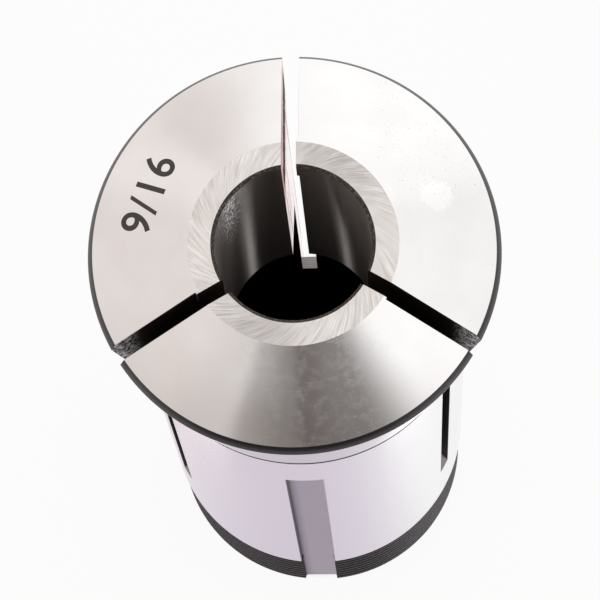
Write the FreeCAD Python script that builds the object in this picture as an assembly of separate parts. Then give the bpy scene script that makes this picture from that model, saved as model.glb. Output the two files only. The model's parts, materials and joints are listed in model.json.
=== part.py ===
import FreeCAD, Part
import math
import os

# A slotted draw-in lathe collet, one piece of hardened spring steel.
# It stands on its rear face, nose up: +Z runs along the bore towards the nose, and the
# origin is the middle of the rear face. The keyway lies at -Y. Sizes are in millimetres.

# Overall and gripping bore
overall_length = 82.55
grip_bore_radius = 7.144
grip_bore_length = 28.0
bore_mouth_chamfer = 0.33

# Nose face: a flat ring round the bore, then a shallow cone down to the rim
face_ring_radius = 9.6
face_cone_angle = 14.07
rim_chamfer_radial = 0.48
rim_chamfer_axial = 0.87
rim_land_length = 0.12

# Head: the closing taper, one side's angle from the axis
head_radius = 18.86
head_taper_angle = 10.0

# Ground body, with a fine relief groove under the taper
body_radius = 15.875
taper_groove_width = 0.45
taper_groove_depth = 0.28

# Rear: the stretch that carries the outer draw thread, here at its crest radius, and the
# groove that the thread runs out into, which stays shallower than the keyway
draw_thread_radius = 15.72
draw_thread_length = 10.95
thread_groove_width = 1.2
thread_groove_depth = 0.62
rear_edge_chamfer = 0.35

# Bore behind the grip: a wide relief, then the inner rear thread at its crest radius
relief_bore_radius = 13.45
drill_point_angle = 59.0
rear_thread_radius = 12.65
rear_thread_length = 12.7
rear_thread_runout_angle = 45.0
rear_mouth_chamfer = 0.6

# Spring slots: three saw cuts, all set off the radius to the same hand
slot_count = 3
first_slot_azimuth = 90.0
slot_width = 1.58
slot_offset = 0.30
slot_end_height = 23.4
saw_radius = 50.0
saw_depth_inside_bore = 0.25

# Web: near the bore at the nose each slot was opened last, by a thinner cutter
web_radius = 9.9
web_depth = 2.5
web_narrowing = 0.21

# Keyway: square at its front end, open at the rear
keyway_azimuth = -90.0
keyway_width = 3.55
keyway_depth = 0.8
keyway_front_height = 54.65
keyway_corner_radius = 0.25
keyway_edge_break = 0.12

# Where the turned blank's seam lies: on a jaw, clear of the slots and the keyway
seam_azimuth = 45.0

# How far cutters run past the surfaces that they open
overcut = 2.0


def cot(degrees):
    """Axial run for each unit of radial run, at an angle from the axis."""
    return 1.0 / math.tan(math.radians(degrees))


def revolved(points):
    """One solid turned about Z from (radius, height) points."""
    outline = [FreeCAD.Vector(radius, 0, height) for radius, height in points]
    face = Part.Face(Part.makePolygon(outline + outline[:1]))
    return face.revolve(FreeCAD.Vector(0, 0, 0), FreeCAD.Vector(0, 0, 1), 360)


def blank():
    """The turned blank: the nose, taper, body and rear outside, and the stepped bore."""
    top = overall_length
    rim_radius = head_radius - rim_chamfer_radial
    rim_top = top - (rim_radius - face_ring_radius) * math.tan(math.radians(face_cone_angle))
    land_top = rim_top - rim_chamfer_axial
    taper_top = land_top - rim_land_length
    taper_bottom = taper_top - (head_radius - body_radius) * cot(head_taper_angle)
    taper_groove_radius = body_radius - taper_groove_depth
    thread_groove_radius = draw_thread_radius - thread_groove_depth
    body_bottom = draw_thread_length + thread_groove_width
    grip_bottom = top - grip_bore_length
    relief_top = grip_bottom - (relief_bore_radius - grip_bore_radius) * cot(drill_point_angle)
    runout = (relief_bore_radius - rear_thread_radius) * cot(rear_thread_runout_angle)
    outside = [
        (draw_thread_radius - rear_edge_chamfer, 0),
        (draw_thread_radius, rear_edge_chamfer),
        (draw_thread_radius, draw_thread_length),
        (thread_groove_radius, draw_thread_length),
        (thread_groove_radius, body_bottom),
        (body_radius, body_bottom),
        (body_radius, taper_bottom - taper_groove_width),
        (taper_groove_radius, taper_bottom - taper_groove_width),
        (taper_groove_radius, taper_bottom),
        (body_radius, taper_bottom),
        (head_radius, taper_top),
        (head_radius, land_top),
        (rim_radius, rim_top),
        (face_ring_radius, top),
    ]
    inside = [
        (grip_bore_radius + bore_mouth_chamfer, top),
        (grip_bore_radius, top - bore_mouth_chamfer),
        (grip_bore_radius, grip_bottom),
        (relief_bore_radius, relief_top),
        (relief_bore_radius, rear_thread_length + runout),
        (rear_thread_radius, rear_thread_length),
        (rear_thread_radius, rear_mouth_chamfer),
        (rear_thread_radius + rear_mouth_chamfer, 0),
    ]
    return revolved(outside + inside)


def slab(edges, low, high):
    """A closed outline in the XZ plane, thickened across Y from low to high."""
    face = Part.Face(Part.Wire(edges))
    face.translate(FreeCAD.Vector(0, low, 0))
    return face.extrude(FreeCAD.Vector(0, high - low, 0))


def line(start, end):
    """A straight edge between two (radius, height) points of the XZ plane."""
    return Part.makeLine(FreeCAD.Vector(start[0], 0, start[1]), FreeCAD.Vector(end[0], 0, end[1]))


def slot_cutter():
    """One slot at azimuth 0: the saw's cut, which spares the web, and the web's cut.

    The saw is fed down the axis with its lowest tooth inside the bore, so the slot's end
    follows the saw's own rim and climbs towards the bore.
    """
    reach = grip_bore_radius - saw_depth_inside_bore
    outer = head_radius + overcut
    above = overall_length + overcut
    web_bottom = overall_length - web_depth
    saw_axis = reach + saw_radius

    def drop(radius):
        """How far below the saw's centre its rim lies at a radius from the collet's axis."""
        return math.sqrt(saw_radius ** 2 - (saw_axis - radius) ** 2)

    saw_height = slot_end_height + drop(body_radius)
    middle = (reach + outer) / 2
    rim = Part.Arc(
        FreeCAD.Vector(outer, 0, saw_height - drop(outer)),
        FreeCAD.Vector(middle, 0, saw_height - drop(middle)),
        FreeCAD.Vector(reach, 0, saw_height),
    ).toShape()
    corners = [(reach, saw_height), (reach, web_bottom), (web_radius, web_bottom),
               (web_radius, above), (outer, above), (outer, saw_height - drop(outer))]
    edges = [line(start, end) for start, end in zip(corners, corners[1:])]
    low = slot_offset - slot_width / 2
    high = slot_offset + slot_width / 2
    saw_cut = slab([rim] + edges, low, high)

    corners = [(reach, web_bottom), (web_radius, web_bottom), (web_radius, above), (reach, above)]
    edges = [line(start, end) for start, end in zip(corners, corners[1:] + corners[:1])]
    web_cut = slab(edges, low + web_narrowing, high)
    return saw_cut.fuse(web_cut)


def keyway_cutter():
    """The keyway at azimuth 0, with small corner radii on its floor and a break on its edges."""
    half = keyway_width / 2
    edge_radius = math.sqrt(body_radius ** 2 - half ** 2)
    floor = edge_radius - keyway_depth
    outer = body_radius + overcut
    length = keyway_front_height + overcut
    groove = Part.makeBox(outer - floor, keyway_width, length, FreeCAD.Vector(floor, -half, -overcut))
    floor_edges = [edge for edge in groove.Edges
                   if abs(edge.BoundBox.XMax - floor) < 1e-6 and edge.BoundBox.ZLength > overcut]
    groove = groove.makeFillet(keyway_corner_radius, floor_edges)

    wide = half + keyway_edge_break
    break_floor = edge_radius - keyway_edge_break
    flare = wide + (outer - edge_radius)
    outline = [(break_floor, -half), (outer, -flare), (outer, flare), (break_floor, half)]
    points = [FreeCAD.Vector(x, y, -overcut) for x, y in outline]
    edge_break = Part.Face(Part.makePolygon(points + points[:1])).extrude(FreeCAD.Vector(0, 0, length))
    return groove.fuse(edge_break)


def turned(shape, azimuth):
    """A copy of a shape, turned about Z."""
    copy = shape.copy()
    copy.rotate(FreeCAD.Vector(0, 0, 0), FreeCAD.Vector(0, 0, 1), azimuth)
    return copy


def collet_body():
    """The finished collet: the blank with its slots and keyway cut."""
    slot = slot_cutter()
    cutters = [turned(slot, first_slot_azimuth + index * 360.0 / slot_count)
               for index in range(slot_count)]
    cutters.append(turned(keyway_cutter(), keyway_azimuth))
    return turned(blank(), seam_azimuth).cut(cutters).removeSplitter()


os.makedirs("parts", exist_ok=True)
body = collet_body()
body.exportStep("parts/collet_body.step")
print("valid", body.isValid(), "solids", len(body.Solids), "volume", round(body.Volume, 1))
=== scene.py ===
import json
import math

import bmesh
import bpy
import numpy as np
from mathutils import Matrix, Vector


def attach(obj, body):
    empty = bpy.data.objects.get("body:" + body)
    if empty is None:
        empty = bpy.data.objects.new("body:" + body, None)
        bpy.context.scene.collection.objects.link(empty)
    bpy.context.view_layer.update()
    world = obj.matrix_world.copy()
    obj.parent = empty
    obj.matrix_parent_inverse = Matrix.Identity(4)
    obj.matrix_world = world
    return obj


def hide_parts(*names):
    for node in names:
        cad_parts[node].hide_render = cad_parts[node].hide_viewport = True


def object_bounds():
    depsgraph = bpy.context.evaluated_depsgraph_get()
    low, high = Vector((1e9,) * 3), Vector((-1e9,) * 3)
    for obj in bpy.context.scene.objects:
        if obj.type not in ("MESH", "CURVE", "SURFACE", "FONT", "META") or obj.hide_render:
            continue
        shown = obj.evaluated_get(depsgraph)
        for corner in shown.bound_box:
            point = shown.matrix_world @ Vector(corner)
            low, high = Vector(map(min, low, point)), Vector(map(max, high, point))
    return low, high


# A slotted lathe collet, standing on its rear face. Lengths here are in millimetres and
# become metres where a mesh is made; azimuths are in radians, with the keyway at -Y.

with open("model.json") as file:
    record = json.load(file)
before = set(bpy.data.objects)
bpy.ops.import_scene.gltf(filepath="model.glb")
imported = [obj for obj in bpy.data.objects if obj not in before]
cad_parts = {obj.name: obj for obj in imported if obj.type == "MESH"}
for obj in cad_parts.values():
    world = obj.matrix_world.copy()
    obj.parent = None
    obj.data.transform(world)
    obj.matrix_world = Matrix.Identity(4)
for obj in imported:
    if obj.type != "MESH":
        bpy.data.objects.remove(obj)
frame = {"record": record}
cad_low, cad_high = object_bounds()
METRES = 0.001
FULL_TURN = 2 * math.pi

# Sizes that the frame gives
MOUNTS = {mount["name"]: mount["dims"] for mount in frame["record"]["mounts"]}
LENGTH = (cad_high.z - cad_low.z) / METRES
GRIP_RADIUS = MOUNTS["grip_bore"]["r_mm"]
BODY_RADIUS = MOUNTS["body_shank"]["r_mm"]
THREAD_RADIUS = MOUNTS["draw_thread"]["r_mm"]
REAR_RADIUS = MOUNTS["rear_thread"]["r_mm"]
HEAD_RADIUS = MOUNTS["head_taper"]["r_mm"]
KEYWAY_LENGTH = MOUNTS["keyway"]["length_mm"]

# Nose
MOUTH_CHAMFER = 0.33
RING_RADIUS = 9.6
FACE_SLOPE = math.tan(math.radians(14.07))
RIM_RADIAL = 0.48
RIM_AXIAL = 0.87
RIM_LAND = 0.12
RIM_TOP = LENGTH - (HEAD_RADIUS - RIM_RADIAL - RING_RADIUS) * FACE_SLOPE
# Heights between which the rim's painted reflection turns it from black to grey
RIM_SHEEN_LOW = RIM_TOP - 0.70
RIM_SHEEN_HIGH = RIM_TOP - 0.12
TAPER_SLOPE = math.tan(math.radians(10.0))

# Body and rear end
TAPER_GROOVE_WIDTH = 0.45
TAPER_GROOVE_DEPTH = 0.28
THREAD_TOP = 10.95
THREAD_GROOVE_WIDTH = 1.2
THREAD_GROOVE_DEPTH = 0.62
REAR_CHAMFER = 0.35

# Bore behind the grip
GRIP_LENGTH = 28.0
RELIEF_RADIUS = 13.45
DRILL_SLOPE = 1 / math.tan(math.radians(59.0))
REAR_THREAD_TOP = 12.7
REAR_MOUTH = 0.6

# Threads: pitch and depth of the groove
DRAW_PITCH = 1.27
DRAW_DEPTH = 0.60
REAR_PITCH = 25.4 / 24
REAR_DEPTH = 0.53

# Slots: their walls are planes at these distances from the radius, anticlockwise positive
SLOT_AZIMUTHS = [math.radians(azimuth) for azimuth in (-30.0, 90.0, 210.0)]
SLOT_LOW = 0.30 - 0.79
SLOT_HIGH = 0.30 + 0.79
SLOT_END = 23.4
SAW_RADIUS = 50.0
SAW_REACH = GRIP_RADIUS - 0.25
WEB_RADIUS = 9.9
WEB_BOTTOM = LENGTH - 2.5
WEB_STEP = 0.21

# Keyway
KEYWAY_AZIMUTH = math.radians(-90.0)
KEYWAY_HALF = 3.55 / 2
KEYWAY_DEPTH = 0.8
KEYWAY_CORNER = 0.25
KEYWAY_BREAK = 0.12

# Mesh detail: flats on edges, spare width beside the slots and the keyway, and steps
EDGE = 0.015
GUARD = 0.3
STEP_RUN = 0.04
COLUMN_STEP = math.radians(1.5)
SLOT_COLUMNS = 4
SLOT_END_ROWS = 9
CORNER_POINTS = 6
SAME_POINT = 1e-6
SAME_LETTER_POINT = 1e-4
SHARP_ANGLE = math.radians(9.0)


def at(radius, azimuth, height):
    """Points from cylinder coordinates, as one array with x, y, z last."""
    radius, azimuth, height = np.broadcast_arrays(radius, azimuth, height)
    return np.stack([radius * np.cos(azimuth), radius * np.sin(azimuth), height], axis=-1)


def beside(azimuth, reach, across, height):
    """Points at a reach along an azimuth's direction and a distance across it, to the left."""
    return at(np.hypot(reach, across), azimuth + np.arctan2(across, reach), height)


class Shell:
    """Gathers grids and flat faces into one mesh, with a finish for each face."""

    def __init__(self):
        self.points = []
        self.faces = []
        self.finishes = []
        self.count = 0

    def add_points(self, points):
        """Stores points and gives their numbers."""
        points = np.asarray(points, float).reshape(-1, 3)
        numbers = np.arange(self.count, self.count + len(points))
        self.points.append(points)
        self.count += len(points)
        return numbers

    def grid(self, points, finish, keep=None):
        """Quads between neighbouring rows and columns, with one finish or one for each row gap."""
        rows, columns = points.shape[:2]
        number = self.add_points(points).reshape(rows, columns)
        corners = np.stack(
            [number[:-1, :-1], number[:-1, 1:], number[1:, 1:], number[1:, :-1]], axis=-1)
        names = np.broadcast_to(
            np.array(finish, dtype=object).reshape(-1, 1), (rows - 1, columns - 1))
        chosen = np.ones((rows - 1, columns - 1), bool) if keep is None else keep
        self.faces += corners[chosen].tolist()
        self.finishes += names[chosen].tolist()

    def polygon(self, points, finish):
        """One flat face through the points in their order."""
        self.faces.append(self.add_points(points).tolist())
        self.finishes.append(finish)

    def build(self, name, materials):
        """One closed object: equal points merged, faces outward, edges sharp by angle."""
        mesh = bpy.data.meshes.new(name)
        mesh.from_pydata(np.concatenate(self.points) * METRES, [], self.faces)
        order = list(materials)
        for material in materials.values():
            mesh.materials.append(material)
        mesh.polygons.foreach_set("material_index", [order.index(f) for f in self.finishes])
        work = bmesh.new()
        work.from_mesh(mesh)
        bmesh.ops.remove_doubles(work, verts=work.verts, dist=SAME_POINT)
        bmesh.ops.recalc_face_normals(work, faces=work.faces)
        work.to_mesh(mesh)
        work.free()
        mesh.polygons.foreach_set("use_smooth", [True] * len(mesh.polygons))
        mesh.set_sharp_from_angle(angle=SHARP_ANGLE)
        mesh.update()
        piece = bpy.data.objects.new(name, mesh)
        bpy.context.scene.collection.objects.link(piece)
        return piece


def keyway_half_section():
    """Half the keyway's section, as distances from its middle and heights, floor to mouth.

    A flat floor, a quarter round in the corner, the wall, then a 45 degree break.
    """
    mouth = math.sqrt(BODY_RADIUS ** 2 - KEYWAY_HALF ** 2)
    floor = mouth - KEYWAY_DEPTH
    turn = np.linspace(0, math.pi / 2, CORNER_POINTS)
    across = [[0, KEYWAY_HALF / 2], KEYWAY_HALF - KEYWAY_CORNER * (1 - np.sin(turn)),
              [KEYWAY_HALF, KEYWAY_HALF + 2 * KEYWAY_BREAK]]
    height = [[floor, floor], floor + KEYWAY_CORNER * (1 - np.cos(turn)),
              [mouth - KEYWAY_BREAK, mouth + KEYWAY_BREAK]]
    return np.concatenate(across), np.concatenate(height)


KEY_ACROSS, KEY_HEIGHT = keyway_half_section()
KEY_REACH = np.hypot(KEY_ACROSS, KEY_HEIGHT)


def keyway_edge(radius):
    """How far from its middle the keyway's side meets a round surface of this radius."""
    return np.interp(radius, KEY_REACH, KEY_ACROSS)


# Stations are the columns with a set place: a centre azimuth and a distance across it. They run
# anticlockwise from the keyway's right edge, through the slots, to its right edge again.
# Each is (centre, side of the keyway, added distance, 1 at a slot's low wall).
KEYWAY_AGAIN = KEYWAY_AZIMUTH + FULL_TURN
STATIONS = [(KEYWAY_AZIMUTH, 1, 0.0, 0), (KEYWAY_AZIMUTH, 1, GUARD, 0)]
for slot_azimuth in SLOT_AZIMUTHS:
    STATIONS += [(slot_azimuth, 0, SLOT_LOW - EDGE - GUARD, 1), (slot_azimuth, 0, SLOT_LOW - EDGE, 1),
                 (slot_azimuth, 0, SLOT_LOW, 1), (slot_azimuth, 0, SLOT_HIGH, 0),
                 (slot_azimuth, 0, SLOT_HIGH + EDGE, 0), (slot_azimuth, 0, SLOT_HIGH + EDGE + GUARD, 0)]
STATIONS += [(KEYWAY_AGAIN, -1, -GUARD, 0), (KEYWAY_AGAIN, -1, 0.0, 0), (KEYWAY_AGAIN, 1, 0.0, 0)]
CENTRE, KEY_SIDE, ADDED, AT_LOW_WALL = np.array(STATIONS).T
LOW_STATIONS = (4, 10, 16)


def station_azimuth(station, radius, at_keyway, in_web):
    """A station's azimuth at a radius: its centre plus asin(distance across / radius)."""
    key = np.where(at_keyway, keyway_edge(radius), KEYWAY_HALF)
    across = KEY_SIDE[station] * key + ADDED[station] + AT_LOW_WALL[station] * WEB_STEP * in_web
    return CENTRE[station] + np.arcsin(across / radius)


def column_plan():
    """Each column's station, and its share of the way to the next one."""
    place = station_azimuth(np.arange(len(STATIONS)), BODY_RADIUS, False, 0)
    last = len(STATIONS) - 2
    station, share = [], []
    for span, width in enumerate(np.diff(place)):
        steps = max(1, round(width / COLUMN_STEP))
        if span in LOW_STATIONS:
            steps = SLOT_COLUMNS
        if span == last:
            steps = 2 * (len(KEY_ACROSS) - 1)
        station += [span] * steps
        share += (np.arange(steps) / steps).tolist()
    return np.array(station + [last]), np.array(share + [1.0])


STATION, SHARE = column_plan()
KEY_COLUMN = int(np.argmax(STATION == STATION[-1]))
LOW_COLUMNS = [int(np.argmax(STATION == station)) for station in LOW_STATIONS]


def column_azimuths(radius, at_keyway=False, in_web=0):
    """Azimuths of the columns, each at its share of the way between two stations."""
    start = station_azimuth(STATION, radius, at_keyway, in_web)
    end = station_azimuth(STATION + 1, radius, at_keyway, in_web)
    return start + SHARE * (end - start)


def saw_height(reach):
    """Height of a slot's end at a distance from the axis: the rim of the saw, a circle."""
    def drop(distance):
        return np.sqrt(SAW_RADIUS ** 2 - (SAW_REACH + SAW_RADIUS - distance) ** 2)
    return SLOT_END + drop(BODY_RADIUS) - drop(reach)


class Profile:
    """A turned outline as rows, with a finish for each gap and numbers of marked rows."""

    def __init__(self, radius, height):
        self.radius = [radius]
        self.height = [height]
        self.finish = []
        self.marks = {}

    def line(self, radius, height, finish, rows=1, mark=None):
        """Rows evenly along a straight line to (radius, height)."""
        share = np.arange(1, rows + 1) / rows
        self.radius += (self.radius[-1] + share * (radius - self.radius[-1])).tolist()
        self.height += (self.height[-1] + share * (height - self.height[-1])).tolist()
        self.finish += [finish] * rows
        if mark:
            self.marks[mark] = len(self.radius) - 1


def turned_profile():
    """From the draw thread's top round the nose to the rear thread, with small flats on edges."""
    rim = HEAD_RADIUS - RIM_RADIAL
    land_top = RIM_TOP - RIM_AXIAL
    taper_top = land_top - RIM_LAND
    taper_bottom = taper_top - (HEAD_RADIUS - BODY_RADIUS) / TAPER_SLOPE
    taper_groove = BODY_RADIUS - TAPER_GROOVE_DEPTH
    body_top = taper_bottom - TAPER_GROOVE_WIDTH
    thread_groove = THREAD_RADIUS - THREAD_GROOVE_DEPTH
    body_bottom = THREAD_TOP + THREAD_GROOVE_WIDTH
    grip_bottom = LENGTH - GRIP_LENGTH
    relief_top = grip_bottom - (RELIEF_RADIUS - GRIP_RADIUS) * DRILL_SLOPE
    relief_bottom = REAR_THREAD_TOP + RELIEF_RADIUS - REAR_RADIUS
    slot_inner = float(saw_height(RELIEF_RADIUS))
    web_top = LENGTH - (WEB_RADIUS - RING_RADIUS) * FACE_SLOPE
    p = Profile(THREAD_RADIUS, THREAD_TOP)
    p.line(thread_groove, THREAD_TOP, "blacked")
    p.line(thread_groove, body_bottom, "blacked", 3)
    p.line(BODY_RADIUS - EDGE, body_bottom, "blacked")
    p.line(BODY_RADIUS, body_bottom + EDGE, "ground_body")
    p.line(BODY_RADIUS, SLOT_END, "ground_body", 4, "slot_outer")
    p.line(BODY_RADIUS, SLOT_END + GUARD, "ground_body", 1, "outer_full")
    p.line(BODY_RADIUS, KEYWAY_LENGTH, "ground_body", 12, "keyway_end")
    p.line(BODY_RADIUS, body_top - EDGE, "ground_body", 3)
    p.line(BODY_RADIUS - EDGE, body_top, "ground_body")
    p.line(taper_groove, body_top, "relief_groove")
    p.line(taper_groove, taper_bottom, "relief_groove")
    p.line(BODY_RADIUS - EDGE, taper_bottom, "relief_groove")
    p.line(BODY_RADIUS + EDGE * TAPER_SLOPE, taper_bottom + EDGE, "ground_taper")
    p.line(HEAD_RADIUS, taper_top, "ground_taper", 8)
    p.line(HEAD_RADIUS, land_top, "rim_edge")
    p.line(rim, RIM_TOP, "rim_edge", 2)
    p.line(WEB_RADIUS, web_top, "nose_face", 10, "web_outside")
    p.line(WEB_RADIUS - STEP_RUN, web_top + STEP_RUN * FACE_SLOPE, "nose_face", 1, "web_start")
    p.line(RING_RADIUS, LENGTH, "nose_face")
    p.line(GRIP_RADIUS + MOUTH_CHAMFER, LENGTH, "face_ring", 3)
    p.line(GRIP_RADIUS, LENGTH - MOUTH_CHAMFER, "bore_mouth")
    p.line(GRIP_RADIUS, WEB_BOTTOM, "grip_bore", 2, "web_end")
    p.line(GRIP_RADIUS, WEB_BOTTOM - STEP_RUN, "grip_bore", 1, "web_inside")
    p.line(GRIP_RADIUS, grip_bottom, "grip_bore", 8)
    p.line(RELIEF_RADIUS, relief_top, "relief_bore", 3)
    p.line(RELIEF_RADIUS, slot_inner + GUARD, "relief_bore", 6, "inner_full")
    p.line(RELIEF_RADIUS, slot_inner, "relief_bore", 1, "slot_inner")
    p.line(RELIEF_RADIUS, relief_bottom, "relief_bore", 4)
    p.line(REAR_RADIUS, REAR_THREAD_TOP, "relief_bore")
    return p


def thread_form(turns):
    """Depth of a thread's groove, from 0 at the crest to 1 at the root, over one pitch.

    A crest flat, a straight flank down, a root with eased corners, and a flank up.
    """
    return np.interp(np.mod(turns, 1.0), THREAD_STOPS, THREAD_DEPTHS)


THREAD_STOPS = np.array([0.0, 0.14, 0.41, 0.45, 0.69, 0.73, 1.0])
THREAD_DEPTHS = np.array([0.0, 0.0, 0.94, 1.0, 1.0, 0.94, 0.0])


def draw_thread_radius(azimuth, height):
    """The outer thread: its crest less the groove's depth, cut back by the rear chamfer."""
    turns = height / DRAW_PITCH - (azimuth - KEYWAY_AZIMUTH) / FULL_TURN
    thread = THREAD_RADIUS - DRAW_DEPTH * thread_form(turns)
    return np.minimum(thread, THREAD_RADIUS - REAR_CHAMFER + height)


def rear_thread_radius(azimuth, height):
    """The inner thread: its crest plus the groove's depth, opened by the mouth's chamfer."""
    turns = height / REAR_PITCH - (azimuth - KEYWAY_AZIMUTH) / FULL_TURN
    thread = REAR_RADIUS + REAR_DEPTH * thread_form(turns)
    return np.maximum(thread, REAR_RADIUS + REAR_MOUTH - height)


def thread_rows(radius_at, crest, pitch, top, at_keyway):
    """Radius, azimuth and height of a thread's rows, which climb one pitch in each turn.

    Rows start two turns below the rear face and are held between it and the thread's top.
    """
    turns = np.arange(-2, math.ceil(top / pitch) + 1)[:, None] + THREAD_STOPS[:-1]
    azimuth = column_azimuths(crest, at_keyway)
    height = turns.reshape(-1, 1) + (azimuth - KEYWAY_AZIMUTH) / FULL_TURN
    height = np.clip(height * pitch, 0.0, top)
    radius = radius_at(azimuth, height)
    return radius, column_azimuths(radius, at_keyway), height


def outward_shift(radius, height):
    """Mitred unit shift of each row out of the metal, from the outline's direction there."""
    along = np.stack([np.diff(radius), np.diff(height)], axis=-1)
    along /= np.linalg.norm(along, axis=-1, keepdims=True)
    side = np.stack([along[:, 1], -along[:, 0]], axis=-1)
    both = np.concatenate([side[:1], side]) + np.concatenate([side, side[-1:]])
    return 2 * both / np.sum(both ** 2, axis=-1, keepdims=True)


class Turned:
    """The turned surface as arrays of radius, azimuth and height, slots and threads heeded."""

    def __init__(self):
        profile = turned_profile()
        self.finish = profile.finish
        self.marks = marks = profile.marks
        row = np.arange(len(profile.radius))[:, None]
        at_keyway = row <= marks["keyway_end"]
        in_web = (row >= marks["web_start"]) & (row <= marks["web_end"])
        radius = np.array(profile.radius)
        height = np.array(profile.height)
        shift = outward_shift(radius, height)
        radius = np.repeat(radius[:, None], len(STATION), axis=1)
        height = np.repeat(height[:, None], len(STATION), axis=1)
        radius[0] = draw_thread_radius(column_azimuths(THREAD_RADIUS, True), THREAD_TOP)
        radius[-1] = rear_thread_radius(column_azimuths(REAR_RADIUS), REAR_THREAD_TOP)
        slotted = slice(marks["outer_full"], marks["inner_full"] + 1)
        for low in LOW_COLUMNS:
            for column in (low, low + SLOT_COLUMNS):
                radius[slotted, column] -= EDGE * shift[slotted, 0]
                height[slotted, column] -= EDGE * shift[slotted, 1]
        self.radius = radius
        self.azimuth = column_azimuths(radius, at_keyway, in_web)
        self.height = height
        for name in ("slot_outer", "slot_inner"):
            for azimuth, low in zip(SLOT_AZIMUTHS, LOW_COLUMNS):
                gap = slice(low, low + SLOT_COLUMNS + 1)
                reach = radius[marks[name], gap] * np.cos(self.azimuth[marks[name], gap] - azimuth)
                height[marks[name], gap] = saw_height(reach)
        self.points = at(self.radius, self.azimuth, self.height)

    def open_faces(self):
        """Which faces stay: all but those over the slots and the keyway."""
        keep = np.ones((self.points.shape[0] - 1, self.points.shape[1] - 1), bool)
        keep[:self.marks["keyway_end"], KEY_COLUMN:] = False
        for low in LOW_COLUMNS:
            keep[self.marks["slot_outer"]:self.marks["slot_inner"], low:low + SLOT_COLUMNS] = False
        return keep


def slot_end(turned, azimuth, low):
    """A slot's end: reach and distance across go evenly from outside to inside, on the saw's rim."""
    gap = slice(low, low + SLOT_COLUMNS + 1)
    share = np.linspace(0, 1, SLOT_END_ROWS)[:, None]

    def place(mark):
        row = turned.marks[mark]
        angle = turned.azimuth[row, gap] - azimuth
        return turned.radius[row, gap] * np.cos(angle), turned.radius[row, gap] * np.sin(angle)

    reach_out, across_out = place("slot_outer")
    reach_in, across_in = place("slot_inner")
    reach = reach_out + share * (reach_in - reach_out)
    across = across_out + share * (across_in - across_out)
    return beside(azimuth, reach, across, saw_height(reach))


def add_slot(shell, turned, azimuth, low):
    """A slot's two walls, the step of its web and its curved end."""
    marks, points = turned.marks, turned.points
    end = slot_end(turned, azimuth, low)
    shell.grid(end, "slot_foot")
    high = low + SLOT_COLUMNS
    first, last = marks["slot_outer"], marks["slot_inner"]
    shell.polygon(np.concatenate([points[first:last + 1, high], end[-2:0:-1, -1]]), "sawn_slot")

    outside, start = marks["web_outside"], marks["web_start"]
    stop, inside = marks["web_end"], marks["web_inside"]
    wall_corner = points[outside, low].copy()
    web_corner = points[start, low].copy()
    wall_corner[2] = points[inside, low, 2]
    web_corner[2] = points[stop, low, 2]
    shell.polygon(np.concatenate([points[first:outside + 1, low], [wall_corner],
                                  points[inside:last + 1, low], end[-2:0:-1, 0]]), "sawn_slot")
    shell.polygon(np.concatenate([points[start:stop + 1, low], [web_corner]]), "sawn_slot")
    shell.polygon([points[outside, low], points[start, low], web_corner, wall_corner], "sawn_slot")
    shell.polygon([wall_corner, web_corner, points[stop, low], points[inside, low]], "sawn_slot")


def keyway_rows(left_radius, left_height, right_radius, right_height):
    """The keyway's section on each row, from its left edge over the floor to its right edge.

    Where the outside lies lower than a point of the section, the point moves to the outside.
    """
    def side(radius, height, sign):
        reach = np.minimum(KEY_REACH, radius[:, None])
        across = keyway_edge(reach)
        along = np.sqrt(reach ** 2 - across ** 2)
        return beside(KEYWAY_AZIMUTH, along, sign * across, height[:, None])

    left = side(left_radius, left_height, -1)[:, ::-1]
    right = side(right_radius, right_height, 1)
    middle = (left[:, -1:] + right[:, :1]) / 2
    return np.concatenate([left[:, :-1], middle, right[:, 1:]], axis=1)


def collet_surface(materials):
    """The whole collet as one closed mesh."""
    shell = Shell()
    turned = Turned()
    marks = turned.marks
    shell.grid(turned.points, turned.finish, turned.open_faces())
    for azimuth, low in zip(SLOT_AZIMUTHS, LOW_COLUMNS):
        add_slot(shell, turned, azimuth, low)

    radius, azimuth, height = thread_rows(
        draw_thread_radius, THREAD_RADIUS, DRAW_PITCH, THREAD_TOP, True)
    shell.grid(at(radius, azimuth, height)[:, :KEY_COLUMN + 1], "blacked")
    inner = at(*thread_rows(rear_thread_radius, REAR_RADIUS, REAR_PITCH, REAR_THREAD_TOP, False))
    shell.grid(inner, "relief_bore")

    turn = len(THREAD_STOPS) - 1
    rows = slice(0, marks["keyway_end"] + 1)
    along = turned.radius[rows], turned.height[rows]
    keyway = keyway_rows(
        np.concatenate([radius[:-turn, KEY_COLUMN], along[0][:, KEY_COLUMN]]),
        np.concatenate([height[:-turn, KEY_COLUMN], along[1][:, KEY_COLUMN]]),
        np.concatenate([radius[turn:, 0], along[0][:, 0]]),
        np.concatenate([height[turn:, 0], along[1][:, 0]]))
    shell.grid(keyway, "milled_keyway")
    front = turned.points[marks["keyway_end"], KEY_COLUMN:]
    shell.grid(np.stack([keyway[-1], front]), "milled_keyway")

    rear_outside = at(radius, azimuth, height)[0, :KEY_COLUMN]
    rear_face = np.stack([inner[0], np.concatenate([rear_outside, keyway[0]])])
    shell.grid(rear_face, "rear_face")
    return shell.build("collet", materials)


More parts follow.
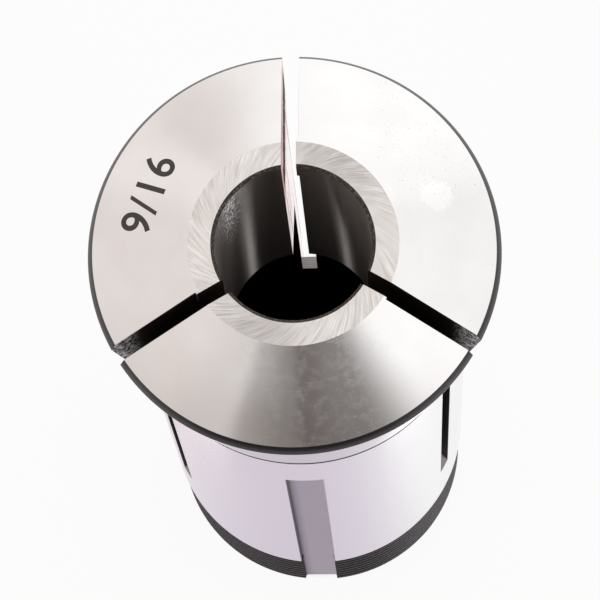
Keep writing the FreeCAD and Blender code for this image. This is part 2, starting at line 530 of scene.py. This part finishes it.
class Value:
    """A node's output; arithmetic on it adds Math nodes."""

    def __init__(self, nodes, socket):
        self.nodes = nodes
        self.socket = socket

    def math(self, operation, *others):
        """This value and others through a Math node."""
        sockets = dict(enumerate((self,) + others))
        return self.nodes.node("Math", {"operation": operation}, sockets)

    def reflected(self, operation, first):
        """Another value, and this one second, through a Math node."""
        return self.nodes.node("Math", {"operation": operation}, {0: first, 1: self})

    def __add__(self, other):
        return self.math("ADD", other)

    __radd__ = __add__

    def __sub__(self, other):
        return self.math("SUBTRACT", other)

    def __rsub__(self, other):
        return self.reflected("SUBTRACT", other)

    def __mul__(self, other):
        return self.math("MULTIPLY", other)

    __rmul__ = __mul__

    def __truediv__(self, other):
        return self.math("DIVIDE", other)


def opaque(colour):
    """A colour with full alpha; a node's output stays as it is."""
    return (*colour, 1.0) if isinstance(colour, tuple) else colour


class Nodes:
    """Node making for a material or the world."""

    def __init__(self, tree):
        self.tree = tree
        tree.nodes.clear()

    def node(self, kind, settings=None, inputs=None, output=0):
        """Adds a node: its settings first, then its sockets' values or links."""
        made = self.tree.nodes.new("ShaderNode" + kind)
        for key, value in (settings or {}).items():
            setattr(made, key, value)
        for key, value in (inputs or {}).items():
            if isinstance(value, Value):
                self.tree.links.new(value.socket, made.inputs[key])
            else:
                made.inputs[key].default_value = value
        return Value(self, made.outputs[output])

    def vector(self, x, y, z=0.0):
        return self.node("CombineXYZ", {}, {"X": x, "Y": y, "Z": z})

    def parts(self, vector):
        """The x, y and z of a vector."""
        return [self.node("SeparateXYZ", {}, {"Vector": vector}, axis) for axis in "XYZ"]

    def noise(self, vector, scale=1.0, detail=2.0, roughness=0.5):
        """Noise about 0.5, with its largest features 1 / scale across."""
        return self.node("TexNoise", {}, {"Vector": vector, "Scale": scale, "Detail": detail,
                                          "Roughness": roughness}, "Fac")

    def smooth(self, value, low, high):
        """0 below low, 1 above high, and an eased step between them."""
        return self.node("MapRange", {"interpolation_type": "SMOOTHSTEP"},
                         {"Value": value, "From Min": low, "From Max": high})

    def fall(self, value, low, high):
        """1 below low, 0 above high, and an eased step between them."""
        return 1 - self.smooth(value, low, high)

    def mix(self, share, first, second):
        """A colour between two colours."""
        return self.node("Mix", {"data_type": "RGBA"},
                         {0: share, 6: opaque(first), 7: opaque(second)}, 2)

    def blend(self, share, first, second):
        """A shader of two, the second by its share."""
        return self.node("MixShader", {}, {0: share, 1: first, 2: second})

    def close(self, kind, shader):
        """Links the last shader to the output."""
        out = self.tree.nodes.new(kind)
        self.tree.links.new(shader.socket, out.inputs["Surface"])


class Finish(Nodes):
    """A material in the making, with its own place on the collet in millimetres."""

    def __init__(self, name):
        self.material = bpy.data.materials.new(name)
        self.material.use_nodes = True
        super().__init__(self.material.node_tree)
        place = self.node("TexCoord", output="Object")
        self.place = self.node(
            "VectorMath", {"operation": "SCALE"}, {"Vector": place, "Scale": 1 / METRES})
        self.x, self.y, self.z = self.parts(self.place)
        self.radius = (self.x * self.x + self.y * self.y).math("SQRT")
        self.azimuth = self.y.math("ARCTAN2", self.x)

    def bump(self, height, depth):
        """A normal for a height from 0 to 1 that stands for a depth in millimetres."""
        return self.node(
            "Bump", {}, {"Height": height, "Distance": depth * METRES, "Strength": 1.0})

    def steel(self, colour, roughness, normal=None, anisotropic=0.0, rotation=0.0, metallic=1.0,
              specular=0.5, grazing=(1.0, 1.0, 1.0)):
        """One metal shader; its highlights stretch across the lines that a tool leaves.

        With no rotation the lines run across the turning direction, and a quarter turns them
        to run with it. The last colour tints what is seen along the surface.
        """
        inputs = {"Base Color": opaque(colour), "Roughness": roughness, "Metallic": metallic,
                  "Anisotropic": anisotropic, "Anisotropic Rotation": rotation,
                  "Specular IOR Level": specular, "Specular Tint": opaque(grazing)}
        if normal:
            inputs["Normal"] = normal
        return self.node("BsdfPrincipled", {}, inputs)

    def done(self, shader):
        """The finished material, with its last shader linked to the output."""
        self.close("ShaderNodeOutputMaterial", shader)
        return self.material

    def distance(self, x, y):
        """How far from the upright line through (x, y), in millimetres."""
        return ((self.x - x) * (self.x - x) + (self.y - y) * (self.y - y)).math("SQRT")

    def strokes(self, slant, width):
        """Lines that cross the face at one slant from the radius, this many millimetres wide.

        Such a line is a spiral: its azimuth less tan(slant) * log(radius) stays the same.
        """
        turn = self.azimuth - self.radius.math("LOGARITHM", math.e) * math.tan(slant)
        reach = RING_MIDDLE * math.cos(slant) / width
        place = self.vector(turn.math("COSINE") * reach, turn.math("SINE") * reach, self.radius * 0.5)
        return self.noise(place, 1.0, 3.0, 0.6)

    def rings(self, along, pitch, turns=1.5):
        """Fine lines that run round the axis: noise that is close-set along one length only."""
        around = self.vector(self.azimuth.math("COSINE") * turns, self.azimuth.math("SINE") * turns,
                             along / pitch)
        return self.noise(around, 1.0, 4.0, 0.65)


# Anisotropic rotation of lines that run round the axis
ALONG_THE_TURNING = 0.25

# Face ring: the slants of its strokes from the radius, and their widths
RING_MIDDLE = 8.5
LAY_SLANT = math.radians(-57.0)
STROKE_SLANT = math.radians(-46.0)
SCORE_SLANT = 0.85 * STROKE_SLANT
CROSS_SLANT = math.radians(45.0)
STROKE_WIDTH = 0.045
SCORE_WIDTH = 0.05
CROSS_WIDTH = 0.12

# Nose face: pitches of its turned lines, a polished spot, and soft stains as x, y, reach and share
LINE_PITCH = 0.09
SCRATCH_PITCH = 0.10
SPOT_X = 13.0
SPOT_Y = 4.63
SPOT_RAGGED = 2.2
STAINS = [(-8.5, 12.5, 6.5, 0.22), (-2.4, -16.5, 4.5, 0.42)]

# Bore: heights between which its haze comes in, and the band of scuffs with its lean
HAZE_LOW = 68.0
HAZE_HIGH = 80.0
SCUFF_AZIMUTH = math.radians(147.0)
SCUFF_HEIGHT = 77.0
SCUFF_LEAN = 0.012
OUTWARD_LEAN = 1.3

# Pitch of the lines on ground steel
GROUND_PITCH = 0.08


def nose_face_finish():
    """Fine-turned steel: rings round the bore, soft clouds and stains, and in front brown mottles.

    A few long scratches run round in front, beside small pits. Both are rough, so they show light
    where the face is dark. The right jaw has a polished spot with dark specks behind it. Towards
    the rim in front the face is darker, a painted reflection of the dark sector in front.
    """
    f = Finish("fine_turned_steel")
    fine = f.rings(f.radius, LINE_PITCH)
    cloud = f.noise(f.place, 0.22, 3.0)
    tone = f.smooth(fine * 0.25 + cloud * 0.75, 0.35, 0.66)
    colour = f.mix(tone, (0.925, 0.912, 0.908), (0.96, 0.957, 0.955))
    # Painted reflection: the outer face in front is darkened as if it mirrored the dark sector in front.
    painted_reflection = f.smooth(f.radius, 11.0, 18.8) * f.fall(f.x * 0.2 + f.y, -18.0, -6.0)
    colour = f.mix(painted_reflection * 0.38, colour, (0.60, 0.56, 0.54))
    front = f.fall(f.y, -9.0, -5.0)
    mottle = f.smooth(f.noise(f.place, 1.1, 5.0, 0.75), 0.44, 0.60) * front
    mottle = mottle * f.smooth(f.x, -7.0, -2.0) * f.fall(f.x, 5.0, 10.0)
    colour = f.mix(mottle * 0.06, colour, (0.56, 0.49, 0.45))
    long = f.smooth(f.rings(f.radius, SCRATCH_PITCH, 1.2), 0.66, 0.70) * front
    colour = f.mix(long * 0.12, colour, (0.50, 0.46, 0.44))
    for x, y, reach, share in STAINS:
        colour = f.mix(f.fall(f.distance(x, y), 0.15 * reach, reach) * share, colour, (0.60, 0.56, 0.53))
    from_spot = f.distance(SPOT_X, SPOT_Y)
    spot = f.fall(from_spot + f.noise(f.place, 1.6, 5.0, 0.7) * SPOT_RAGGED, 2.35, 2.65)
    colour = f.mix(f.fall(from_spot, 2.0, 7.0) * 0.30, colour, (0.86, 0.86, 0.855))
    colour = f.mix(spot * 0.9, colour, (0.995, 0.99, 0.985))
    specks = f.smooth(f.noise(f.place, 5.0, 2.0), 0.67, 0.70) * f.smooth(f.x, 6.0, 9.0)
    colour = f.mix(specks * f.smooth(f.y, 3.0, 6.0) * 0.5, colour, (0.45, 0.43, 0.42))
    worked = f.smooth(f.x + f.radius * 0.3, 4.0, 11.0)
    pits = f.smooth(f.noise(f.place, 5.5, 2.0) + worked * 0.10, 0.76, 0.84)
    rough = 0.105 + 0.05 * cloud + 0.09 * mottle + (0.16 * long + 0.22 * pits) * front
    bump = f.bump(fine * 0.7 + long * 0.3, 0.0005)
    return f.done(f.steel(colour, rough, bump, 0.85, ALONG_THE_TURNING))


def face_ring_finish():
    """Ground ring: fine slanted strokes with dark scores, and a weaker set crossing them in patches.

    The strokes differ in roughness, so they part most where the ring mirrors something dark.
    """
    f = Finish("ground_ring_steel")
    first = f.strokes(STROKE_SLANT, STROKE_WIDTH)
    second = f.strokes(CROSS_SLANT, CROSS_WIDTH)
    patch = f.smooth(f.noise(f.place, 0.35, 2.0), 0.45, 0.65)
    line = f.smooth(first, 0.42, 0.58)
    colour = f.mix(line, (0.975, 0.925, 0.888), (1.0, 0.985, 0.965))
    scores = f.smooth(f.strokes(SCORE_SLANT, SCORE_WIDTH), 0.60, 0.66)
    colour = f.mix(scores * 0.36, colour, (0.60, 0.55, 0.51))
    bump = f.bump(first + second * 0.4 * patch - scores * 0.3, 0.0040)
    along = f.steel(colour, 0.62 - 0.28 * line, bump, 0.93, 0.5 + LAY_SLANT / FULL_TURN)
    across = f.steel(colour, 0.36, bump, 0.9, 0.5 + CROSS_SLANT / FULL_TURN)
    return f.done(f.blend(0.06 + 0.14 * patch, along, across))


def ground_finish(name, light, dark, rough=0.12):
    """Cylindrically ground steel: close rings along the length."""
    f = Finish(name)
    fine = f.rings(f.z, GROUND_PITCH)
    cloud = f.noise(f.place, 0.12, 3.0)
    tone = f.smooth(fine * 0.5 + cloud * 0.5, 0.3, 0.7)
    return f.done(f.steel(f.mix(tone, dark, light), rough + 0.06 * cloud, f.bump(fine, 0.0003),
                          0.6, ALONG_THE_TURNING))


def blacked_finish(name, dark=(0.022, 0.020, 0.022), rough=0.30, specular=0.6):
    """Black hardening scale, with a painted sheen that makes it a little paler on the right."""
    f = Finish(name)
    grain = f.noise(f.place, 6.0, 4.0, 0.7)
    colour = f.mix(f.smooth(grain, 0.35, 0.7), dark, tuple(2.0 * c for c in dark))
    # Painted sheen: paler towards the right, where the scale mirrors more light.
    colour = f.mix(f.smooth(f.x, 4.0, 13.0) * 0.75, colour, tuple(4.0 * c for c in dark))
    return f.done(f.steel(colour, rough + 0.12 * grain, f.bump(grain, 0.003), metallic=0.0,
                          specular=specular))


def rim_finish():
    """The nose's rim: black under the face's edge, and grey towards the taper as a painted reflection of
    the pale surroundings.
    """
    f = Finish("rim_edge_steel")
    grain = f.noise(f.place, 5.0, 4.0, 0.7)
    # Painted reflection: the rim is grey towards the taper, where its edge would mirror the pale
    # surroundings.
    rim_sheen = f.fall(f.z + grain * 0.2, RIM_SHEEN_LOW, RIM_SHEEN_HIGH)
    colour = f.mix(rim_sheen, (0.004, 0.003, 0.004), (0.085, 0.076, 0.084))
    return f.done(f.steel(colour, 0.35, f.bump(grain, 0.004), metallic=0.0, specular=0.36))


def relief_shade_finish():
    """The wide bore behind the grip: matt black scale, made near-black as painted shade for the dark
    inside of the collet.
    """
    f = Finish("sooty_steel")
    grain = f.noise(f.place, 2.0, 4.0, 0.7)
    # Painted shade: nearly black, so that the inside of the collet stays dark.
    colour = f.mix(grain, (0.003, 0.0028, 0.0026), (0.010, 0.009, 0.008))
    return f.done(f.steel(colour, 0.8, f.bump(grain, 0.01), metallic=0.0, specular=0.1))


def bore_mouth_finish():
    """The bore's small chamfer: brown-black, with paler nicks along it."""
    f = Finish("bore_mouth_steel")
    grain = f.noise(f.place, 5.0, 4.0, 0.8)
    nicks = f.smooth(grain, 0.50, 0.66)
    dark = f.steel((0.046, 0.036, 0.030), 0.5, f.bump(grain, 0.02), metallic=0.0, specular=0.2)
    bright = f.steel((0.62, 0.57, 0.54), 0.45, f.bump(grain, 0.05))
    return f.done(f.blend(nicks * 0.5, dark, bright))


def bore_finish():
    """The grip's bore: lines round it stretch highlights along it, under a thin brown film.

    It is hazed near the mouth, most of all on the left, where work has rubbed it. There small
    bright scuffs, close-set in a slanting band, lean out towards the mouth.
    """
    f = Finish("bore_steel")
    scratch = f.noise(f.vector(f.azimuth * 14.0, f.z * 0.9 - f.azimuth * 3.0), 1.0, 6.0, 0.75)
    speck = f.noise(f.vector(f.azimuth * 30.0, f.z * 1.4), 1.0, 4.0, 0.75)
    high = f.smooth(f.z, HAZE_LOW, HAZE_HIGH)
    left = f.fall(f.x, -6.6, -3.6) * f.smooth(f.y, 0.0, 4.2) * high
    right = f.smooth(f.x, 1.5, 5.5) * high
    from_band = f.azimuth - SCUFF_AZIMUTH + (f.z - SCUFF_HEIGHT) * SCUFF_LEAN
    band = f.fall(from_band.math("ABSOLUTE"), 0.02, 0.22)
    scuffs = left * (0.30 + 0.70 * band) * f.smooth(speck, 0.47, 0.60)
    metal = f.steel((0.56, 0.52, 0.50), 0.28, f.bump(scratch, 0.0005), 1.0, ALONG_THE_TURNING)
    film_colour = f.mix(left * f.smooth(scratch, 0.3, 0.7), (0.050, 0.036, 0.028), (0.82, 0.81, 0.80))
    film_colour = f.mix(right * scratch, film_colour, (0.30, 0.27, 0.255))
    film = f.steel(film_colour, 0.5, f.bump(scratch, 0.006), metallic=0.0, specular=0.2)
    outward = f.node("VectorMath", {"operation": "NORMALIZE"},
                     {0: f.vector(0 - f.x, 0 - f.y, f.radius * OUTWARD_LEAN)})
    rubbed = f.steel((0.92, 0.91, 0.90), 0.45, outward)
    wall = f.blend(0.10 + 0.15 * scratch + 0.60 * left + 0.25 * right, metal, film)
    return f.done(f.blend(scuffs, wall, rubbed))


def sawn_finish():
    """A sawn slot wall: black scale, with bare pinkish lines where the saw last rubbed.

    The back slot has the most bare lines. A black stain runs along it a little under the nose, and
    below the stain it is clean. The other slots' ends at the rim have a coarse broken grain.
    """
    f = Finish("sawn_steel")
    score = f.noise(f.vector(f.radius * 2.2, f.z * 0.03 + f.radius * 0.10), 1.0, 4.0, 0.65)
    broad = f.noise(f.vector(f.radius * 0.8 + 3.0, f.z * 0.04), 1.0, 2.0)
    grain = f.noise(f.place, 2.2, 4.0, 0.75)
    back = f.smooth(f.y, 2.0, 6.0)
    depth = LENGTH - f.z + (grain - 0.5) * 8.0
    stain = f.smooth(depth, 4.2, 5.6) * f.fall(depth, 8.0, 10.0) * f.smooth(f.radius, 7.4, 9.2)
    clean = back * f.smooth(depth, 8.5, 13.0)
    bare = score * 0.50 + broad * 0.35 + grain * 0.15 + back * (0.20 - 0.35 * stain)
    bare = f.smooth(bare, 0.61, 0.66)
    end = f.smooth(f.radius, 15.6, 17.6) * f.fall(f.y, -2.0, 0.0)
    scale = f.steel((0.022, 0.017, 0.014), 0.5, f.bump(score, 0.01), metallic=0.0, specular=0.12)
    steel = f.steel((0.80, 0.655, 0.63), 0.22, f.bump(score + grain, 0.006), grazing=(1.0, 0.80, 0.77))
    crystal = f.steel((0.95, 0.94, 0.93), 0.45, f.bump(grain, 0.35), metallic=0.7)
    polished = f.steel((0.97, 0.90, 0.89), 0.12, grazing=(1.0, 0.91, 0.90))
    wall = f.blend(clean * (0.45 + 0.55 * bare), f.blend(bare, scale, steel), polished)
    return f.done(f.blend(f.smooth(grain, 0.42, 0.58) * end, wall, crystal))


def slot_foot_finish():
    """The slots' ends, cut by the saw's rim: dull grey with lines across them."""
    f = Finish("slot_foot_steel")
    score = f.noise(f.vector(f.radius * 9.0, f.azimuth), 1.0, 4.0, 0.7)
    colour = f.mix(score, (0.16, 0.145, 0.14), (0.34, 0.32, 0.315))
    return f.done(f.steel(colour, 0.55, f.bump(score, 0.006)))


def milled_finish():
    """The keyway: matte, milled grey, with painted shade that darkens it along its left wall."""
    f = Finish("milled_steel")
    grain = f.noise(f.place, 1.5, 4.0, 0.6)
    colour = f.mix(grain, (0.46, 0.435, 0.465), (0.55, 0.525, 0.555))
    # Painted shade: darker towards the left wall, and nearly black right beside it.
    colour = f.mix(f.fall(f.x, -1.80, -0.70), colour, (0.30, 0.28, 0.30))
    colour = f.mix(f.fall(f.x, -1.76, -1.45), colour, (0.06, 0.055, 0.06))
    return f.done(f.steel(colour, 0.4, f.bump(grain, 0.004)))


def marked_finish():
    """Steel darkened by the marking laser."""
    f = Finish("laser_marked_steel")
    grain = f.noise(f.place, 5.0, 3.0, 0.7)
    colour = f.mix(grain, (0.040, 0.036, 0.033), (0.085, 0.078, 0.072))
    return f.done(f.steel(colour, 0.55, f.bump(grain, 0.002), metallic=0.3))


FINISHES = {
    "blacked": blacked_finish("blacked_steel"),
    "ground_body": ground_finish("ground_body_steel", (0.96, 0.948, 0.96), (0.93, 0.915, 0.93)),
    "ground_taper": ground_finish("ground_taper_steel", (0.94, 0.925, 0.94), (0.90, 0.885, 0.90), 0.30),
    "relief_groove": blacked_finish("relief_groove_steel", (0.008, 0.007, 0.007), 0.5, 0.1),
    "rim_edge": rim_finish(),
    "nose_face": nose_face_finish(),
    "face_ring": face_ring_finish(),
    "bore_mouth": bore_mouth_finish(),
    "grip_bore": bore_finish(),
    "relief_bore": relief_shade_finish(),
    "sawn_slot": sawn_finish(),
    "slot_foot": slot_foot_finish(),
    "milled_keyway": milled_finish(),
    "rear_face": blacked_finish("rear_face_steel"),
}

collet = collet_surface(FINISHES)
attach(collet, "root")
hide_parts("collet_body")


# The size number: the bore in inches, lasered on the left jaw
NUMBER = "9/16"
NUMBER_HEIGHT = 3.0
NUMBER_RADIUS = 14.04
NUMBER_AZIMUTH = math.radians(158.9)
NUMBER_THICKNESS = 0.02
NUMBER_FACET = 0.35
NUMBER_WEIGHT = 0.05
NUMBER_SPACING = 1.08
NUMBER_CURVE_STEPS = 6
NUMBER_CUTS = 4
CAPITAL_SHARE = 0.729


def size_number():
    """Upright text, tops outward, laid on the nose's cone: its height follows the radius."""
    letters = bpy.data.curves.new("size_number", "FONT")
    letters.body = NUMBER
    letters.align_x = "CENTER"
    letters.align_y = "CENTER"
    letters.size = NUMBER_HEIGHT / CAPITAL_SHARE
    letters.offset = NUMBER_WEIGHT
    letters.space_character = NUMBER_SPACING
    letters.extrude = NUMBER_THICKNESS / 2
    letters.resolution_u = NUMBER_CURVE_STEPS
    flat = bpy.data.objects.new("flat_number", letters)
    bpy.context.scene.collection.objects.link(flat)
    bpy.context.view_layer.update()
    mesh = bpy.data.meshes.new_from_object(flat)
    bpy.data.objects.remove(flat)

    work = bmesh.new()
    work.from_mesh(mesh)
    bmesh.ops.remove_doubles(work, verts=work.verts, dist=SAME_LETTER_POINT)
    for _ in range(NUMBER_CUTS):
        bmesh.ops.triangulate(work, faces=work.faces)
        long = [edge for edge in work.edges if edge.calc_length() > NUMBER_FACET]
        bmesh.ops.subdivide_edges(work, edges=long, cuts=1)
    bmesh.ops.triangulate(work, faces=work.faces)
    work.to_mesh(mesh)
    work.free()

    flat_points = np.empty(3 * len(mesh.vertices))
    mesh.vertices.foreach_get("co", flat_points)
    along, up, rise = flat_points.reshape(-1, 3).T
    centre = 0.5 * (along.min() + along.max())
    reach = NUMBER_RADIUS + up * math.cos(math.atan(FACE_SLOPE))
    points = beside(NUMBER_AZIMUTH, reach, centre - along, 0.0)
    radius = np.hypot(points[:, 0], points[:, 1])
    points[:, 2] = LENGTH - (radius - RING_RADIUS) * FACE_SLOPE + rise
    mesh.vertices.foreach_set("co", (points * METRES).ravel())
    mesh.materials.clear()
    mesh.materials.append(marked_finish())
    mesh.update()
    piece = bpy.data.objects.new("size_number", mesh)
    bpy.context.scene.collection.objects.link(piece)
    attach(piece, "root")


size_number()


# Camera: where the photograph was taken from
CAMERA_DISTANCE = 286.73
CAMERA_ELEVATION = math.radians(73.357)
CAMERA_AZIMUTH = math.radians(-82.5)
CAMERA_ROLL = math.radians(-7.927)
CAMERA_PAN = 0.0003
CAMERA_TILT = -0.0189
AIM_HEIGHT = 83.4
FOCAL_PIXELS = 3190.16
FRAME_PIXELS = 600.0
SENSOR = 36.0
CLIP_START = 0.01


def add_camera():
    """A camera at the fitted distance and angles, turned by its small pan, tilt and roll."""
    back = Vector((math.cos(CAMERA_ELEVATION) * math.cos(CAMERA_AZIMUTH),
                   math.cos(CAMERA_ELEVATION) * math.sin(CAMERA_AZIMUTH),
                   math.sin(CAMERA_ELEVATION)))
    right = Vector((-math.sin(CAMERA_AZIMUTH), math.cos(CAMERA_AZIMUTH), 0.0))
    up = back.cross(right)
    place = Vector((0.0, 0.0, AIM_HEIGHT)) + CAMERA_DISTANCE * back

    def turn(vector, axis, angle):
        across = axis.cross(vector)
        return vector * math.cos(angle) + across * math.sin(angle) + axis * axis.dot(vector) * (
            1 - math.cos(angle))

    back, right = turn(back, up, CAMERA_PAN), turn(right, up, CAMERA_PAN)
    back = turn(back, right, CAMERA_TILT)
    up = back.cross(right)
    right, up = (right * math.cos(CAMERA_ROLL) + up * math.sin(CAMERA_ROLL),
                 up * math.cos(CAMERA_ROLL) - right * math.sin(CAMERA_ROLL))
    data = bpy.data.cameras.new("camera")
    data.sensor_width = SENSOR
    data.lens = FOCAL_PIXELS * SENSOR / FRAME_PIXELS
    data.clip_start = CLIP_START
    camera = bpy.data.objects.new("camera", data)
    bpy.context.scene.collection.objects.link(camera)
    camera.matrix_world = (
        (right.x, right.y, right.z, 0), (up.x, up.y, up.z, 0), (back.x, back.y, back.z, 0),
        (place.x * METRES, place.y * METRES, place.z * METRES, 1))
    bpy.context.scene.camera = camera


add_camera()


# Floor: its half side in metres, the azimuths of its painted shade and of the right painted lamp glow,
# and the distances from the axis between which its tones come in and go out
FLOOR_REACH = 3.0
FLOOR_SHADE = math.radians(-100.0)
PAINTED_LAMP_AZIMUTH = math.radians(-37.0)
UNDER_COLLET = (13.0, 15.6)
NEAR_ENDS = (60.0, 120.0)
FAR_STARTS = (130.0, 170.0)
PAINTED_LAMP_STARTS = (36.0, 46.0)
PAINTED_LAMP_ENDS = (110.0, 180.0)
SEEN_WHITE = 0.93


def add_floor():
    """A wide pale floor that shows nearly white to the camera and in the metal.

    In the metal it is dimmer to the front near the collet, a painted shadow, and dark further out, where
    the photographer stands. Its left is tinted darker, a painted shade, and two patches right and left
    of the front glow brighter, painted light that stands for two lamps.
    """
    corners = [(-1, -1), (1, -1), (1, 1), (-1, 1)]
    mesh = bpy.data.meshes.new("floor")
    mesh.from_pydata([(x * FLOOR_REACH, y * FLOOR_REACH, 0) for x, y in corners], [], [(0, 1, 2, 3)])
    floor = bpy.data.objects.new("floor", mesh)
    bpy.context.scene.collection.objects.link(floor)
    f = Finish("floor_paper")
    camera = f.node("LightPath", output="Is Camera Ray")
    glossy = f.node("LightPath", output="Is Glossy Ray")
    through = f.node("LightPath", output="Is Transmission Ray")
    seen = (camera * SEEN_WHITE).math("MAXIMUM", glossy * SEEN_WHITE).math("MAXIMUM", through)
    seen = seen * f.smooth(f.radius, *UNDER_COLLET)
    paper = f.node("BsdfDiffuse", {}, {"Color": opaque((0.9, 0.9, 0.9))})
    near = f.fall(f.radius, *NEAR_ENDS)
    facing = (f.x * math.cos(FLOOR_SHADE) + f.y * math.sin(FLOOR_SHADE)) / f.radius
    # Painted shadow: near the collet the floor is dimmer to the front, as the metal sees it.
    front = f.smooth(facing, 0.25, 1.1) * near
    # Painted shade: the left of the floor is tinted darker.
    left = f.fall(f.x, -24.0, -4.0) * near
    pale = f.mix(left, (1.0, 1.0, 1.0), (0.845, 0.765, 0.805))
    pale = f.mix(front, pale, (0.68, 0.615, 0.71))
    far = f.smooth(f.radius, *FAR_STARTS) * f.smooth(facing, 0.35, 0.85)
    pale = f.mix(far * 0.9, pale, (0.10, 0.095, 0.095))
    # Painted light: two floor patches, right and left of the front, glow brighter in the metal in place
    # of two lamps.
    aside = f.x.math("ABSOLUTE") * math.cos(PAINTED_LAMP_AZIMUTH) + f.y * math.sin(PAINTED_LAMP_AZIMUTH)
    painted_lamp_glow = f.smooth(aside / f.radius, 0.955, 0.985) * f.smooth(f.radius, *PAINTED_LAMP_STARTS)
    pale = f.mix(painted_lamp_glow * f.fall(f.radius, *PAINTED_LAMP_ENDS), pale, (2.8, 2.75, 2.7))
    pale = f.mix(camera, pale, (1.0, 1.0, 1.0))
    white = f.node("Emission", {}, {"Color": pale, "Strength": 1.0})
    mesh.materials.append(f.done(f.blend(seen, paper, white)))


# The studio as the nose's cone mirrors it. Every direction has an angle about this middle, as its
# x and y, and a point of the cone mirrors the angle that is its own azimuth.
MIDDLE_X = -0.0396
MIDDLE_Y = 0.2967

# The dark sector's edges, each step as its start and end in degrees and its share
COVER_STEPS = [(-136, -110, 0.22), (-110, -104.5, 0.42), (-105, -91, 0.22), (-91, -87, 0.12)]
CLEAR_STEPS = [(-86, -72, 0.07), (-69, -46, 0.93)]


def add_world():
    """A pale studio dome: warmer and dimmer on the left, white on the right and behind.

    The camera and the photographer are the one dark thing in it. They fill a sector in front,
    with stepped edges, from high up to the floor.
    """
    world = bpy.data.worlds.new("studio")
    bpy.context.scene.world = world
    world.use_nodes = True
    w = Nodes(world.node_tree)
    x, y = w.parts(w.node("TexCoord", output="Generated"))[:2]
    across = x - MIDDLE_X
    along = y - MIDDLE_Y
    away = (across * across + along * along).math("SQRT")
    angle = along.math("ARCTAN2", across) * (180 / math.pi)
    side = w.smooth(x, -0.42, 0.10)
    dome = w.mix(side, (0.785, 0.725, 0.70), (1.065, 1.055, 1.05))
    dim = w.smooth(angle, -36, -24) * w.fall(angle, 12, 27)
    dome = w.mix(dim * 0.5, dome, (0.86, 0.85, 0.85))
    glow = w.smooth(angle, 132, 142) * w.fall(angle, 154, 170)
    dome = w.mix(glow * 0.35, dome, (1.0, 0.96, 0.94))
    cover = sum(w.smooth(angle, start, end) * share for start, end, share in COVER_STEPS)
    clear = sum(w.smooth(angle, start, end) * share for start, end, share in CLEAR_STEPS)
    dark = cover * (1 - clear) * w.smooth(away, 0.08, 0.24)
    dome = w.mix(dark, dome, (0.142, 0.121, 0.115))
    lit = w.node("Background", {}, {"Color": dome, "Strength": 1.0})
    white = w.node("Background", {}, {"Color": opaque((1.0, 1.0, 1.0)), "Strength": 1.0})
    camera = w.node("LightPath", output="Is Camera Ray")
    w.close("ShaderNodeOutputWorld", w.blend(camera, lit, white))


add_floor()
add_world()
bpy.context.scene.view_settings.view_transform = "Standard"
